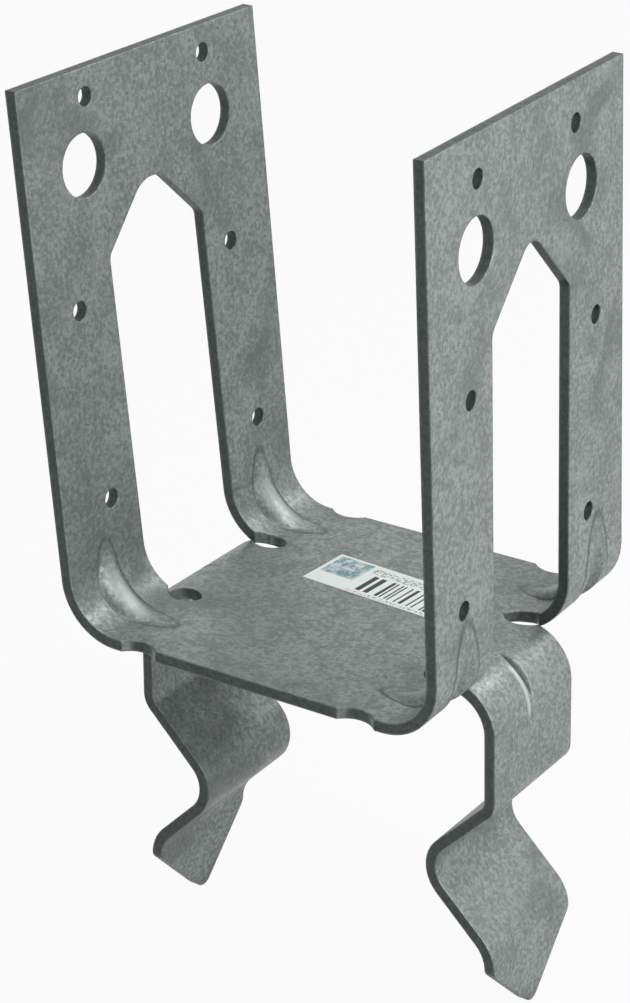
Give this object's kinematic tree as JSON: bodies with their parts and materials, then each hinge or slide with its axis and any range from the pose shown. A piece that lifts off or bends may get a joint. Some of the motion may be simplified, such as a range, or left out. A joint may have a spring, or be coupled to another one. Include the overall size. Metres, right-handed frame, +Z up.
{
  "type": "timber post base",
  "caption": "Folded galvanised steel post base: a flat seat and two upright holed straps hold a timber post, and two bent anchor legs go into concrete.",
  "frame": {"origin": "centre of the seat's underside, where the concrete ends", "axes": "+X across the uprights, +Y along the strip's width, +Z up towards the uprights' ends"},
  "size_m": [0.1058, 0.0849, 0.2129],
  "materials": {
    "galvanised_sheet": "dull hot-dip galvanised, faintly mottled",
    "label_paper": "matt printed paper label"
  },
  "bodies": {
    "root": {"post_base": "galvanised_sheet", "label": "label_paper"}
  },
  "joints": []
}
